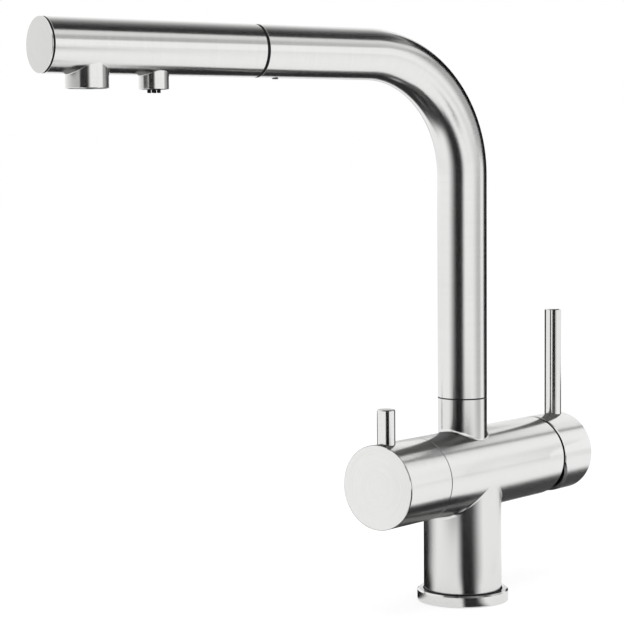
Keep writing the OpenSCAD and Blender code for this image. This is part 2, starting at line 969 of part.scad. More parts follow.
// Channel from the back of the core to above an outlet, then down into it
module head_feed(x, y, d) {
    bend = [x, y, feed_z];
    channel([core_start - cut, y, feed_z], bend + [d / 2, 0, 0], d);
    channel(bend, [x, 0, collar_top - d], d - cross_step);
}

module head_core() {
    color(white_plastic)
        along_spout()
            difference() {
                spout_rod(core_start, core_end, spout_bore - 2 * fit);
                head_feed(main_outlet_x, main_feed_y, main_feed_d);
                head_feed(filter_outlet_x, filter_feed_y, filter_feed_d);
                drop_rod(main_outlet_x, -spout_d, collar_top, main_outlet_d + 2 * fit);
                drop_rod(filter_outlet_x, -spout_d, collar_top, filter_outlet_d + 2 * fit);
            }
}

module head_spigot() {
    color(black_plastic)
        along_spout()
            difference() {
                union() {
                    spout_rod(spigot_back, head_back, dock_bore - 2 * run);
                    spout_rod(head_back, core_start, spout_bore - 2 * fit);
                }
                translate([0, main_feed_y, feed_z])
                    spout_rod(spigot_back - cut, core_start + cut, main_feed_d);
                translate([0, filter_feed_y, feed_z])
                    spout_rod(spigot_back - cut, core_start + cut, filter_feed_d);
            }
}

// Body of an outlet, bevelled at its lower edge
module outlet_rod(x, d) {
    translate([x, 0, collar_top])
        mirror([0, 0, 1])
            bevelled_rod(outlet_drop + collar_top, d, edge_bevel);
}

module outlet_collar() {
    color(steel)
        along_spout()
            difference() {
                outlet_rod(main_outlet_x, main_outlet_d);
                drop_rod(main_outlet_x, -outlet_drop - cut, insert_seal_top, insert_d + 2 * fit);
                drop_rod(main_outlet_x, -outlet_drop, collar_top + cut, main_neck_d);
            }
}

// Hexagonal grid of places within two steps of the middle
function hex_grid(pitch) = [
    for (row = [-2:2], column = [-2:2])
        if (abs(row + column) <= 2)
            [pitch * (column + row / 2), pitch * row * sqrt(3) / 2]
];

module aerator_insert() {
    color(grey_plastic)
        along_spout()
            difference() {
                drop_rod(main_outlet_x, insert_bottom, insert_top, insert_d);
                for (place = hex_grid(insert_pitch))
                    translate([place.x, place.y, 0])
                        drop_rod(main_outlet_x, insert_bottom - cut, insert_top + cut, insert_hole_d);
            }
}

module aerator_seal() {
    color(rubber)
        along_spout()
            difference() {
                drop_rod(main_outlet_x, insert_top, insert_seal_top, insert_d);
                drop_rod(main_outlet_x, insert_top - cut, insert_seal_top + cut, main_neck_d);
            }
}

module filter_outlet() {
    color(steel)
        along_spout()
            difference() {
                outlet_rod(filter_outlet_x, filter_outlet_d);
                drop_rod(filter_outlet_x, -outlet_drop - cut, nozzle_top, nozzle_d + 2 * fit);
                drop_rod(filter_outlet_x, -outlet_drop, collar_top + cut, filter_neck_d);
            }
}

// Lower end of the nozzle's nubs, and the places of its middle nub and their ring
nub_tip = -outlet_drop - nub_drop;
nub_places = concat(
    [[0, 0]],
    [for (i = [0:5]) nub_circle_r * [cos(nub_turn + 60 * i), sin(nub_turn + 60 * i)]]
);

module filter_nozzle() {
    color(rubber)
        along_spout()
            difference() {
                union() {
                    drop_rod(filter_outlet_x, nozzle_bottom, nozzle_top, nozzle_d);
                    for (place = nub_places)
                        translate([place.x, place.y, 0])
                            drop_rod(filter_outlet_x, nub_tip, nozzle_top, nub_d);
                }
                for (place = nub_places)
                    translate([place.x, place.y, 0])
                        drop_rod(filter_outlet_x, nub_tip - cut, nozzle_top + cut, nub_bore);
            }
}

base_flange();
base_seal();
mixer_body();
cartridge_base();
cartridge_seals();
mixer_fixed_disc();
mixer_moving_disc();
disc_carrier();
cartridge_housing();
lever_carrier();
stem_pin();
cartridge_stem();
cartridge_nut();
handle_cap();
mixer_lever();
handle_screw();
valve_housing();
valve_seal();
valve_fixed_disc();
valve_moving_disc();
valve_spindle();
spindle_seals();
filter_knob();
filter_lever();
knob_screw();
spout_tube();
swivel_sleeve();
swivel_seals();
swivel_washer();
spout_screw();
dock_sleeve();
dock_screw();
head_shell();
head_end_cap();
head_core();
head_spigot();
outlet_collar();
aerator_insert();
aerator_seal();
filter_outlet();
filter_nozzle();
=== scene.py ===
"""Three-way kitchen tap in brushed steel: finishes, joint fillets, studio and camera."""

import json
import math

import bmesh
import bpy
from mathutils import Matrix, Vector


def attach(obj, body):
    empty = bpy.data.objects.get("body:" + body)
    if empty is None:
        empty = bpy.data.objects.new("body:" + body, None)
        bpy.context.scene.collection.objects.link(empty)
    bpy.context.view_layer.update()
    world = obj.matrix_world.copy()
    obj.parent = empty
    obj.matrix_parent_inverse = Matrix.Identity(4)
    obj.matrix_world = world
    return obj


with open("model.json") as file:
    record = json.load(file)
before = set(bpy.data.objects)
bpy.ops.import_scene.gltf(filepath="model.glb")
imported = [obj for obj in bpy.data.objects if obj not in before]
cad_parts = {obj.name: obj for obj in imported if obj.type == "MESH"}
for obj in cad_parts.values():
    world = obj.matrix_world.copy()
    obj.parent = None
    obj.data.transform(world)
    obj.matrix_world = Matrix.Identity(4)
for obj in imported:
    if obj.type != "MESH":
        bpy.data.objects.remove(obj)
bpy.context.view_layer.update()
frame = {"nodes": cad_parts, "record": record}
scene = bpy.context.scene

# Places of the tap in metres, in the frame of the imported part
CROSSBAR_Z = 0.0745
CROSSBAR_R = 0.02325
FOOT_R = 0.02225
FLANGE_TOP = 0.0065
COLLAR_R = 0.014
SPOUT_Z = 0.309
BEND_R = 0.066
BEND_FOOT_Z = SPOUT_Z - BEND_R
MIXER_LEVER_X = 0.0953
FILTER_LEVER_X = -0.0718
MAIN_OUTLET_U = 0.2393
MAIN_OUTLET_R = 0.011
FILTER_OUTLET_U = 0.201
FILTER_OUTLET_R = 0.00775
KNOB_END_X = -0.08
KNOB_SEAM_X = -0.04265
SWIVEL_SEAM_Z = 0.1165
DOCK_SEAM_U = 0.1396
END_GROOVE_U = (0.26402, 0.26498)
UP = Vector((0.0, 0.0, 1.0))
ALONG_X = Vector((1.0, 0.0, 0.0))
ALONG_Y = Vector((0.0, 1.0, 0.0))
SPOUT_AXIS = Vector((-0.96316285, 0.26891982, 0.0))
SPOUT_SIDE = Vector((-0.26891982, -0.96316285, 0.0))
POST = Vector((0.0, 0.0, 0.0))
CROSSBAR_MIDDLE = Vector((0.0, 0.0, CROSSBAR_Z))
SPOUT_MIDDLE = Vector((0.0, 0.0, SPOUT_Z))
# Keeps what lies across the crossbar and drops what lies along it
ACROSS_BAR = (0.0, 1.0, 1.0)

# Seams, edges and joint roundings
EDGE_BEVEL = 0.0002
KNOB_SEAM, KNOB_SEAM_DEPTH = 0.0003, 0.0009
SWIVEL_SEAM, SWIVEL_SEAM_DEPTH = 0.0004, 0.0005
DOCK_SEAM, DOCK_SEAM_DEPTH = 0.0016, 0.0004
RING_INSET = 0.00006
RING_CLEAR = 0.00002
COLLAR_FILLET_R = 0.0021
FOOT_FILLET_R = 0.0024
MAIN_OUTLET_FILLET_R = 0.0005
FILTER_OUTLET_FILLET_R = 0.0004
ABOVE, BELOW = 1, -1
RING_STEPS = 180

# Gap in front of the handle and the hollow of the handle, whose faces get painted shade
GAP_START = 0.0713
GAP_END = 0.0739
HOLLOW_END = 0.0854
HOLLOW_R = 0.0213
END_FACING = 0.9
# Painted shade: near-black colour standing for the shadow deep in the gap
PAINTED_GAP_SHADE_COLOUR = (0.02, 0.02, 0.019)
GAP_ROUGHNESS = 0.6


# Node tools

def add_node(tree, kind, settings=None, values=None):
    """Adds a node, with its settings and the plain values of its inputs."""
    node = tree.nodes.new(kind)
    for name, value in (settings or {}).items():
        setattr(node, name, value)
    for name, value in (values or {}).items():
        node.inputs[name].default_value = value
    return node


def feed(tree, inputs, values):
    """Links each value that is a socket into its input, and sets the input to a plain one."""
    for socket, value in zip(inputs, values):
        if isinstance(value, bpy.types.NodeSocket):
            tree.links.new(value, socket)
        else:
            socket.default_value = value


def maths(tree, operation, *values):
    """A Math node of sockets or numbers; gives back its output."""
    node = add_node(tree, "ShaderNodeMath", {"operation": operation})
    feed(tree, node.inputs, values)
    return node.outputs[0]


def vector_maths(tree, operation, *values):
    """A Vector Math node of sockets, vectors or a scale; gives back its output."""
    node = add_node(tree, "ShaderNodeVectorMath", {"operation": operation})
    scales = operation == "SCALE"
    feed(tree, (node.inputs["Vector"], node.inputs["Scale"]) if scales else node.inputs, values)
    return node.outputs["Value" if operation in ("DOT_PRODUCT", "LENGTH") else "Vector"]


def combine(tree, x, y, z):
    """A vector from three sockets or numbers."""
    node = add_node(tree, "ShaderNodeCombineXYZ")
    feed(tree, node.inputs, (x, y, z))
    return node.outputs["Vector"]


def spread(tree, value, low, high, out_low, out_high):
    """Maps a value from one span to another, clamped."""
    node = add_node(tree, "ShaderNodeMapRange", {"clamp": True}, {
        "From Min": low, "From Max": high, "To Min": out_low, "To Max": out_high,
    })
    tree.links.new(value, node.inputs["Value"])
    return node.outputs["Result"]


def weigh(tree, first, second, share):
    """Sum of two values by the share of the first."""
    return maths(tree, "MULTIPLY_ADD", first, share, maths(tree, "MULTIPLY", second, 1.0 - share))


MIX_TYPES = {"RGBA": "RGBA", "VALUE": "FLOAT"}


def mix(tree, kind, factor, first, second):
    """A Mix node from a first to a second colour (RGBA) or number (VALUE); gives back its output."""
    node = add_node(tree, "ShaderNodeMix", {"data_type": MIX_TYPES[kind]})
    ends = [socket for socket in node.inputs if socket.type == kind][-2:]
    feed(tree, (node.inputs[0], *ends), (factor, first, second))
    return next(socket for socket in node.outputs if socket.type == kind)


def noise(tree, place, detail, roughness):
    """A noise value at a place whose scale is already in the vector."""
    node = add_node(tree, "ShaderNodeTexNoise", None, {
        "Scale": 1.0, "Detail": detail, "Roughness": roughness,
    })
    tree.links.new(place, node.inputs["Vector"])
    return node.outputs["Fac"]


def new_group(name, inputs, outputs):
    """An empty shader node group with named sockets."""
    group = bpy.data.node_groups.new(name, "ShaderNodeTree")
    for socket_name, socket_type, value in inputs:
        socket = group.interface.new_socket(socket_name, in_out="INPUT", socket_type=socket_type)
        socket.default_value = value
    for socket_name in outputs:
        group.interface.new_socket(socket_name, in_out="OUTPUT", socket_type="NodeSocketFloat")
    given = group.nodes.new("NodeGroupInput").outputs
    return group, given, group.nodes.new("NodeGroupOutput").inputs


# Effects shared by several finishes

LINES_PER_METRE = 6000.0
STREAKS_PER_METRE = 900.0
LINE_BREAKS_PER_METRE = 110.0
STREAK_BREAKS_PER_METRE = 35.0
LINE_TONE_SHARE = 0.55
LINE_HEIGHT_SHARE = 0.7
GRAINS_PER_METRE = 2500.0
SLOW_GRAINS_PER_METRE = 180.0
GRAIN_TONE_SHARE = 0.5


def make_turned_lines():
    """Fine lines round an axis, on the walls and, as rings, on the flat ends."""
    group, given, result = new_group("turned_lines", [
        ("Position", "NodeSocketVector", (0.0, 0.0, 0.0)),
        ("Axis Point", "NodeSocketVector", (0.0, 0.0, 0.0)),
        ("Axis", "NodeSocketVector", (0.0, 0.0, 1.0)),
        ("Lines Per Metre", "NodeSocketFloat", LINES_PER_METRE),
        ("Streaks Per Metre", "NodeSocketFloat", STREAKS_PER_METRE),
    ], ["Tone", "Height"])
    from_point = vector_maths(group, "SUBTRACT", given["Position"], given["Axis Point"])
    along = vector_maths(group, "DOT_PRODUCT", from_point, given["Axis"])
    on_axis = vector_maths(group, "SCALE", given["Axis"], along)
    outward = vector_maths(group, "SUBTRACT", from_point, on_axis)
    travel = maths(group, "ADD", along, vector_maths(group, "LENGTH", outward))

    def lines(per_metre, breaks_per_metre):
        across = combine(group, maths(group, "MULTIPLY", travel, per_metre), 0.0, 0.0)
        around = vector_maths(group, "SCALE", outward, breaks_per_metre)
        return vector_maths(group, "ADD", across, around)

    fine = noise(group, lines(given["Lines Per Metre"], LINE_BREAKS_PER_METRE),
                 detail=2.0, roughness=0.6)
    streaks = noise(group, lines(given["Streaks Per Metre"], STREAK_BREAKS_PER_METRE),
                    detail=3.0, roughness=0.55)
    group.links.new(weigh(group, fine, streaks, LINE_TONE_SHARE), result["Tone"])
    group.links.new(weigh(group, fine, streaks, LINE_HEIGHT_SHARE), result["Height"])
    return group


def make_moulded_grain():
    """Fine even grain of a moulded or ground surface, with a slow change of tone."""
    group, given, result = new_group("moulded_grain", [
        ("Position", "NodeSocketVector", (0.0, 0.0, 0.0)),
        ("Grains Per Metre", "NodeSocketFloat", GRAINS_PER_METRE),
    ], ["Tone", "Height"])

    def grains(per_metre, roughness):
        place = vector_maths(group, "SCALE", given["Position"], per_metre)
        return noise(group, place, detail=2.0, roughness=roughness)

    fine = grains(given["Grains Per Metre"], roughness=0.6)
    slow = grains(SLOW_GRAINS_PER_METRE, roughness=0.5)
    group.links.new(weigh(group, fine, slow, GRAIN_TONE_SHARE), result["Tone"])
    group.links.new(fine, result["Height"])
    return group


def make_gap_shade():
    """Mask of the faces between the crossbar and the handle, and inside the handle, that get painted
    shade, dark and rough.
    """
    group, given, result = new_group("gap_shade", [
        ("Position", "NodeSocketVector", (0.0, 0.0, 0.0)),
        ("Normal", "NodeSocketVector", (1.0, 0.0, 0.0)),
    ], ["Mask"])

    def between(value, low, high):
        return maths(group, "MULTIPLY", maths(group, "GREATER_THAN", value, low),
                     maths(group, "LESS_THAN", value, high))

    along = vector_maths(group, "DOT_PRODUCT", given["Position"], ALONG_X)
    from_axis = vector_maths(group, "SUBTRACT", given["Position"], CROSSBAR_MIDDLE)
    radius = vector_maths(group, "LENGTH", vector_maths(group, "MULTIPLY", from_axis, ACROSS_BAR))
    facing = maths(group, "ABSOLUTE", vector_maths(group, "DOT_PRODUCT", given["Normal"], ALONG_X))
    rims = maths(group, "MULTIPLY", between(along, GAP_START, GAP_END),
                 maths(group, "GREATER_THAN", facing, END_FACING))
    hollow = maths(group, "MULTIPLY", between(along, GAP_START, HOLLOW_END),
                   maths(group, "LESS_THAN", radius, HOLLOW_R))
    group.links.new(maths(group, "MAXIMUM", rims, hollow), result["Mask"])
    return group


TURNED_LINES = make_turned_lines()
MOULDED_GRAIN = make_moulded_grain()
GAP_SHADE = make_gap_shade()


def place_group(tree, group, position, values):
    """Places an effect in a material with its own values."""
    node = add_node(tree, "ShaderNodeGroup", {"node_tree": group}, values)
    tree.links.new(position, node.inputs["Position"])
    return node.outputs["Tone"], node.outputs["Height"]


def paint_gap_shade(tree, shader, surface):
    """Paints shade on the faces in the handle's gap: a near-black colour, and rough."""
    node = add_node(tree, "ShaderNodeGroup", {"node_tree": GAP_SHADE})
    tree.links.new(surface.outputs["Object"], node.inputs["Position"])
    tree.links.new(surface.outputs["Normal"], node.inputs["Normal"])
    for kind, name, value in (("RGBA", "Base Color", (*PAINTED_GAP_SHADE_COLOUR, 1.0)),
                              ("VALUE", "Roughness", GAP_ROUGHNESS)):
        steel = shader.inputs[name].links[0].from_socket
        tree.links.new(mix(tree, kind, node.outputs["Mask"], steel, value), shader.inputs[name])


# Finishes

STEEL_COLOURS = ((0.795, 0.797, 0.785), (0.875, 0.876, 0.865))
STEEL_ROUGHNESS = (0.17, 0.23)
LEVER_ROUGHNESS = (0.1, 0.14)
STEEL_ANISOTROPY = 0.6
STEEL_DEPTH = 0.000004
# Lean that keeps a grain direction off the normal of a flat end
GRAIN_LEAN = 0.002
# How far outside the crossbar's wall the foot and the collar begin
BAR_MARGIN = 0.00005
TONE_SPAN = (0.25, 0.75)
RELIEF_STRENGTH = 0.35
INNER_LINES_PER_METRE = 4500.0
INNER_STREAKS_PER_METRE = 1200.0
BRASS_COLOURS = ((0.66, 0.50, 0.25), (0.78, 0.62, 0.35))
BRASS_ROUGHNESS = (0.24, 0.34)
PLASTIC_GRAINS_PER_METRE = 2200.0
PLASTIC_DEPTH = 0.00001


def new_finish(name):
    """A material with its shader, and the places and normals of the piece as it stood at rest."""
    material = bpy.data.materials.new(name)
    material.use_nodes = True
    tree = material.node_tree
    return material, tree, tree.nodes["Principled BSDF"], add_node(tree, "ShaderNodeTexCoord")


def finish_surface(tree, shader, tone, height, colours, roughness, depth):
    """Takes colour, gloss and fine relief from an effect's tone and height."""
    dark, light = ((*colour, 1.0) for colour in colours)
    colour = mix(tree, "RGBA", spread(tree, tone, *TONE_SPAN, 0.0, 1.0), dark, light)
    bump = add_node(tree, "ShaderNodeBump", None, {"Strength": RELIEF_STRENGTH, "Distance": depth})
    tree.links.new(height, bump.inputs["Height"])
    tree.links.new(colour, shader.inputs["Base Color"])
    tree.links.new(spread(tree, tone, *TONE_SPAN, *roughness), shader.inputs["Roughness"])
    tree.links.new(bump.outputs["Normal"], shader.inputs["Normal"])


def dress_steel(tree, shader, tone, height, grain, roughness=STEEL_ROUGHNESS):
    """Brushed steel from lines that are already placed, its shine drawn out along the grain."""
    shader.inputs["Metallic"].default_value = 1.0
    finish_surface(tree, shader, tone, height, STEEL_COLOURS, roughness, STEEL_DEPTH)
    turn = add_node(tree, "ShaderNodeVectorTransform", {
        "vector_type": "VECTOR", "convert_from": "OBJECT", "convert_to": "WORLD",
    })
    feed(tree, (turn.inputs["Vector"],), (grain,))
    tree.links.new(turn.outputs["Vector"], shader.inputs["Tangent"])
    shader.inputs["Anisotropic"].default_value = STEEL_ANISOTROPY


def lean(direction):
    """The direction, leaned a little so that it never stands square on a flat end."""
    side = ALONG_X if abs(direction.z) > abs(direction.x) else UP
    return tuple(direction + GRAIN_LEAN * side)


def rod_steel(name, point, axis, roughness=STEEL_ROUGHNESS, paints_gap_shade=False):
    """Brushed steel of a piece turned about one axis; the handle's gap can be given painted shade, dark
    and rough.
    """
    material, tree, shader, surface = new_finish(name)
    tone, height = place_group(tree, TURNED_LINES, surface.outputs["Object"],
                               {"Axis Point": point, "Axis": axis})
    dress_steel(tree, shader, tone, height, lean(axis), roughness)
    if paints_gap_shade:
        paint_gap_shade(tree, shader, surface)
    return material


def body_steel():
    """Brushed steel of the body: lines round the upright axis on the crossbar, none elsewhere."""
    material, tree, shader, surface = new_finish("brushed_steel_body")
    place = surface.outputs["Object"]
    tone, height = place_group(tree, TURNED_LINES, place, {"Axis": UP})
    from_bar = vector_maths(tree, "SUBTRACT", place, CROSSBAR_MIDDLE)
    radius = vector_maths(tree, "LENGTH", vector_maths(tree, "MULTIPLY", from_bar, ACROSS_BAR))
    on_post = maths(tree, "GREATER_THAN", radius, CROSSBAR_R + BAR_MARGIN)
    on_bar = maths(tree, "SUBTRACT", 1.0, on_post)
    dress_steel(tree, shader, maths(tree, "MULTIPLY", tone, on_bar),
                maths(tree, "MULTIPLY", height, on_bar), combine(tree, on_bar, GRAIN_LEAN, on_post))
    # Painted shade on the faces in the handle's gap
    paint_gap_shade(tree, shader, surface)
    return material


def tube_steel():
    """Brushed steel of the spout: lines round the column, round the bend and round the straight run."""
    material, tree, shader, surface = new_finish("brushed_steel_tube")
    place = surface.outputs["Object"]

    def along(direction):
        return vector_maths(tree, "DOT_PRODUCT", place, direction)

    before_bend = maths(tree, "SUBTRACT", BEND_R, along(SPOUT_AXIS))
    above_bend = maths(tree, "SUBTRACT", along(UP), BEND_FOOT_Z)
    arm = maths(tree, "MAXIMUM", before_bend, 0.0)
    rise = maths(tree, "MAXIMUM", above_bend, 0.0)
    column_part = maths(tree, "MINIMUM", above_bend, 0.0)
    bend_part = maths(tree, "MULTIPLY", maths(tree, "ARCTAN2", rise, arm), BEND_R)
    straight_part = maths(tree, "MAXIMUM", maths(tree, "MULTIPLY", before_bend, -1.0), 0.0)
    travel = maths(tree, "ADD", maths(tree, "ADD", column_part, bend_part), straight_part)
    span = vector_maths(tree, "LENGTH", combine(tree, arm, rise, 0.0))
    straightened = combine(tree, travel, along(SPOUT_SIDE), maths(tree, "SUBTRACT", span, BEND_R))
    tone, height = place_group(tree, TURNED_LINES, straightened, {"Axis": ALONG_X})
    grain = vector_maths(tree, "ADD", vector_maths(tree, "SCALE", SPOUT_AXIS, rise),
                         vector_maths(tree, "SCALE", lean(UP), arm))
    dress_steel(tree, shader, tone, height, grain)
    return material


def turned_metal(name, colours, roughness, point, axis):
    """Turned metal inside the tap and of its screws."""
    material, tree, shader, surface = new_finish(name)
    tone, height = place_group(tree, TURNED_LINES, surface.outputs["Object"], {
        "Axis Point": point, "Axis": axis,
        "Lines Per Metre": INNER_LINES_PER_METRE, "Streaks Per Metre": INNER_STREAKS_PER_METRE,
    })
    shader.inputs["Metallic"].default_value = 1.0
    finish_surface(tree, shader, tone, height, colours, roughness, STEEL_DEPTH)
    return material


def moulded(name, colours, roughness, grains_per_metre=PLASTIC_GRAINS_PER_METRE,
            depth=PLASTIC_DEPTH, gloss=0.5):
    """Moulded plastic, rubber or ground ceramic."""
    material, tree, shader, surface = new_finish(name)
    shader.inputs["Specular IOR Level"].default_value = gloss
    tone, height = place_group(tree, MOULDED_GRAIN, surface.outputs["Object"],
                               {"Grains Per Metre": grains_per_metre})
    finish_surface(tree, shader, tone, height, colours, roughness, depth)
    return material


HEAD_STEEL = rod_steel("brushed_steel_head", SPOUT_MIDDLE, SPOUT_AXIS)
NODE_FINISHES = {
    "base_flange": rod_steel("brushed_steel_foot", POST, UP),
    "mixer_body": body_steel(),
    "handle_cap": rod_steel("brushed_steel_handle", CROSSBAR_MIDDLE, ALONG_X, paints_gap_shade=True),
    "filter_knob": rod_steel("brushed_steel_crossbar", CROSSBAR_MIDDLE, ALONG_X),
    "mixer_lever": rod_steel("brushed_steel_mixer_lever", MIXER_LEVER_X * ALONG_X, UP,
                             LEVER_ROUGHNESS),
    "filter_lever": rod_steel("brushed_steel_filter_lever", FILTER_LEVER_X * ALONG_X, UP,
                              LEVER_ROUGHNESS),
    "spout_tube": tube_steel(),
    "head_shell": HEAD_STEEL,
    "head_end_cap": HEAD_STEEL,
    "outlet_collar": rod_steel("brushed_steel_main_outlet", MAIN_OUTLET_U * SPOUT_AXIS, UP),
    "filter_outlet": rod_steel("brushed_steel_filter_outlet", FILTER_OUTLET_U * SPOUT_AXIS, UP),
    # Grey plastic darkened to near black: painted shade, as the screw sits in shadow on the spout's
    # underside
    "dock_screw": moulded(
        "grey_plastic_screw_painted_shade", roughness=(0.4, 0.52),
        colours=((0.03, 0.03, 0.032), (0.055, 0.055, 0.058))),
    "swivel_sleeve": turned_metal("turned_brass_sleeve", BRASS_COLOURS, BRASS_ROUGHNESS, POST, UP),
}
SLOT_FINISHES = {
    "plain_steel": turned_metal(
        "plain_steel", roughness=(0.28, 0.38), point=POST, axis=UP,
        colours=((0.40, 0.40, 0.40), (0.52, 0.52, 0.52))),
    "turned_brass": turned_metal(
        "turned_brass_crossbar", BRASS_COLOURS, BRASS_ROUGHNESS, CROSSBAR_MIDDLE, ALONG_X),
    "black_plastic": moulded(
        "black_plastic", roughness=(0.38, 0.5), gloss=0.25,
        colours=((0.007, 0.007, 0.007), (0.015, 0.015, 0.015))),
    "grey_plastic": moulded(
        "grey_plastic", roughness=(0.4, 0.52),
        colours=((0.25, 0.26, 0.28), (0.33, 0.34, 0.36))),
    "white_plastic": moulded(
        "white_plastic", roughness=(0.36, 0.48),
        colours=((0.77, 0.77, 0.75), (0.84, 0.84, 0.82))),
    "white_ceramic": moulded(
        "white_ceramic", roughness=(0.08, 0.14), grains_per_metre=5000.0, depth=0.000002,
        colours=((0.85, 0.85, 0.83), (0.9, 0.9, 0.88))),
    "black_rubber": moulded(
        "black_rubber", roughness=(0.55, 0.7), grains_per_metre=1600.0, depth=0.00002, gloss=0.12,
        colours=((0.008, 0.008, 0.008), (0.016, 0.016, 0.016))),
}


def dress_nodes():
    """Gives every solid of the part its finish."""
    slots = {part["node"]: part["material_slot"] for part in frame["record"]["subparts"]}
    for name, node in frame["nodes"].items():
        finish = NODE_FINISHES.get(name) or SLOT_FINISHES[slots[name]]
        node.data.materials.clear()
        node.data.materials.append(finish)


# Rounded joints, and black rings that paint the seams' shade

def add_object(name, data):
    """Puts an object into the scene."""
    thing = bpy.data.objects.new(name, data)
    scene.collection.objects.link(thing)
    return thing


def add_piece(name, build, finish, rider):
    """Makes a piece from a built mesh and lets it ride on a body of the part."""
    bmesh.ops.recalc_face_normals(build, faces=build.faces)
    mesh = bpy.data.meshes.new(name)
    build.to_mesh(mesh)
    build.free()
    piece = add_object(name, mesh)
    mesh.materials.append(finish)
    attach(piece, rider)
    return mesh


def join_rings(build, rings):
    """Closes the skin between neighbouring rings of points."""
    for ring, following in zip(rings, rings[1:] + rings[:1]):
        for place in range(len(ring)):
            after = (place + 1) % len(ring)
            build.faces.new((ring[place], ring[after], following[after], following[place]))


def saddle_fillet(name, bar, post_u, post_r, ball_r, side, finish, rider):
    """Rounding in the corner between a lying bar and an upright post, above or below the bar."""
    arc_steps, sunk, least_slant = 12, 0.0005, 0.2
    middle, along, across, bar_r = bar
    build = bmesh.new()
    rings, normals = [], []
    for turn in range(RING_STEPS):
        angle = 2 * math.pi * turn / RING_STEPS
        out = along * math.cos(angle) + across * math.sin(angle)
        aside = (post_r + ball_r) * math.sin(angle)
        reach = bar_r + ball_r
        height = side * math.sqrt(reach ** 2 - aside ** 2)
        ball = middle + along * post_u + out * (post_r + ball_r) + UP * height
        to_post = -out
        to_bar = (across * -aside - UP * height) / reach
        between = (to_post + to_bar).normalized()
        ring = []
        for step in range(arc_steps + 1):
            direction = to_post.lerp(to_bar, step / arc_steps).normalized()
            ring.append(build.verts.new(ball + ball_r * direction))
            normals.append(-direction)
        corner = ball_r / max(between.dot(to_post), least_slant) + sunk
        ring.append(build.verts.new(ball + corner * between))
        normals.append(between)
        rings.append(ring)
    join_rings(build, rings)
    mesh = add_piece(name, build, finish, rider)
    for face in mesh.polygons:
        face.use_smooth = True
    mesh.normals_split_custom_set_from_vertices(normals)


def shade_seam_ring(name, point, axis, across, outline, rider):
    """Black ring in a seam, partly a dark joint and partly painted shade of the seam's depth; the
    outline gives places along the axis and radii.
    """
    third = axis.cross(across)
    build = bmesh.new()
    rings = []
    for turn in range(RING_STEPS):
        angle = 2 * math.pi * turn / RING_STEPS
        out = across * math.cos(angle) + third * math.sin(angle)
        rings.append([build.verts.new(point + axis * place + out * radius)
                      for place, radius in outline])
    join_rings(build, rings)
    add_piece(name, build, SLOT_FINISHES["black_rubber"], rider)


def wedge(middle, gap, depth, radius):
    """Outline of a ring that fills a seam between two bevelled edges."""
    half, bottom = gap / 2 - RING_CLEAR, radius - depth
    bevel_foot, lip = radius - EDGE_BEVEL, radius - RING_INSET
    wide = half + EDGE_BEVEL - RING_INSET
    return [(middle - half, bottom), (middle + half, bottom), (middle + half, bevel_foot),
            (middle + wide, lip), (middle - wide, lip), (middle - half, bevel_foot)]


def knob_end_outline():
    """Outline of the line round the knob's end disc, from steps in from its end and its wall."""
    steps = ((0.0006, 0.00025), (0.00048, 0.0), (0.00031, 0.00017), (0.0003, 0.00045))
    return [(KNOB_END_X + inward, CROSSBAR_R - sunk) for inward, sunk in steps]


def foot_shade_lip_outline():
    """Outline of a black lip that paints the shade between the foot and the flange, its outer edge cut
    at a slant.
    """
    sunk, rise, inside, outside, cut = 0.0004, 0.00045, 0.0003, 0.0005, 0.00012
    bottom, top = FLANGE_TOP - sunk, FLANGE_TOP + rise
    return [(bottom, FOOT_R - inside), (top, FOOT_R - inside), (top, FOOT_R + cut),
            (FLANGE_TOP + cut, FOOT_R + outside), (bottom, FOOT_R + outside)]


def end_groove_outline():
    """Outline of the ring in the groove round the head's end cap."""
    floor_r, lip_r, overhang = 0.0134, 0.01394, 0.00012
    start, end = END_GROOVE_U
    return [(start, floor_r), (end, floor_r), (end, lip_r),
            (start - overhang, lip_r), (start, COLLAR_R - EDGE_BEVEL)]


